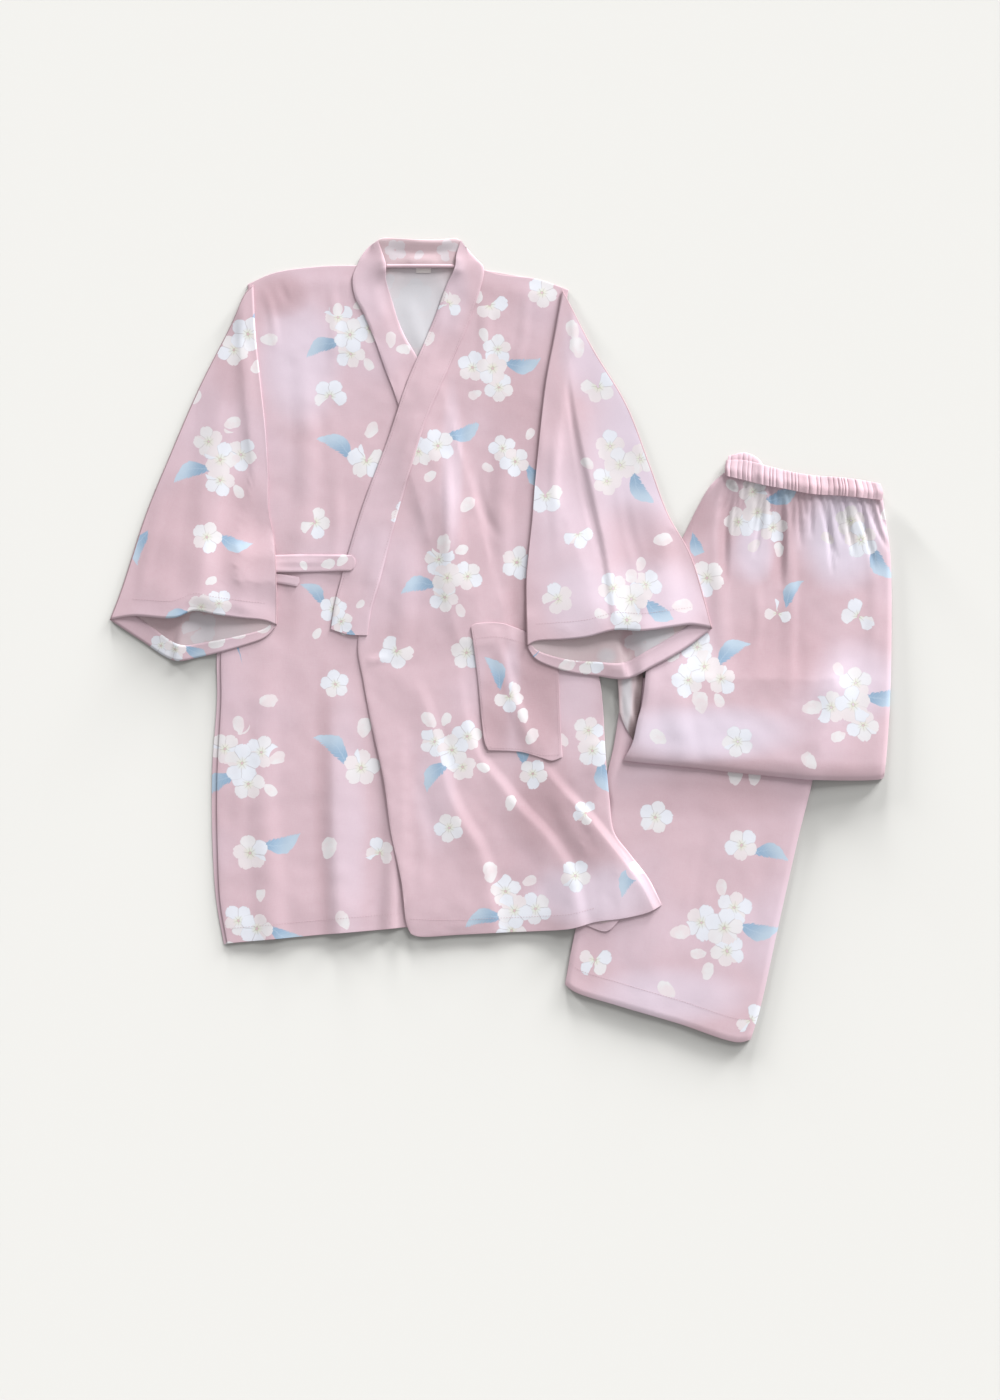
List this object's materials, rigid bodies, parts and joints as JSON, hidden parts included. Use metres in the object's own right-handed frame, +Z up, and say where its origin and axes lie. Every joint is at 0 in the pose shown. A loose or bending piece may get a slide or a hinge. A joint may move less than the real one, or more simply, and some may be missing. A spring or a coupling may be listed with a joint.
{
  "type": "kimono pajama set laid flat",
  "caption": "Printed cotton kimono pajama set laid flat: wrap top with open half sleeves, band collar, ties and pocket, beside elastic-waist trousers folded once.",
  "frame": {"origin": "centre of the bounding box, on the floor that the set lies on", "axes": "+Z up off the floor; +Y towards the collar of the top; +X towards the trousers, the wearer's left of the top"},
  "size_m": [0.8986, 0.922, 0.0261],
  "materials": {
    "printed_cotton": "soft dusty pink cotton with a cherry blossom print, matt",
    "wrong_side": "pale wrong side of the same cotton, matt",
    "label_tape": "bare white woven tape"
  },
  "bodies": {
    "root": {"back": "wrong_side", "neck_label": "label_tape", "trouser_inner_layer": "wrong_side", "waistband_back": "wrong_side", "collar_back": "printed_cotton", "collar_right": "printed_cotton", "collar_left": "printed_cotton", "front_right": "printed_cotton", "front_left": "printed_cotton", "pocket": "printed_cotton", "tie_short": "printed_cotton", "tie_long": "printed_cotton", "sleeve_right": "printed_cotton", "sleeve_left": "printed_cotton", "trouser_legs": "printed_cotton", "trouser_seat": "printed_cotton", "waistband_front": "printed_cotton"}
  },
  "joints": []
}
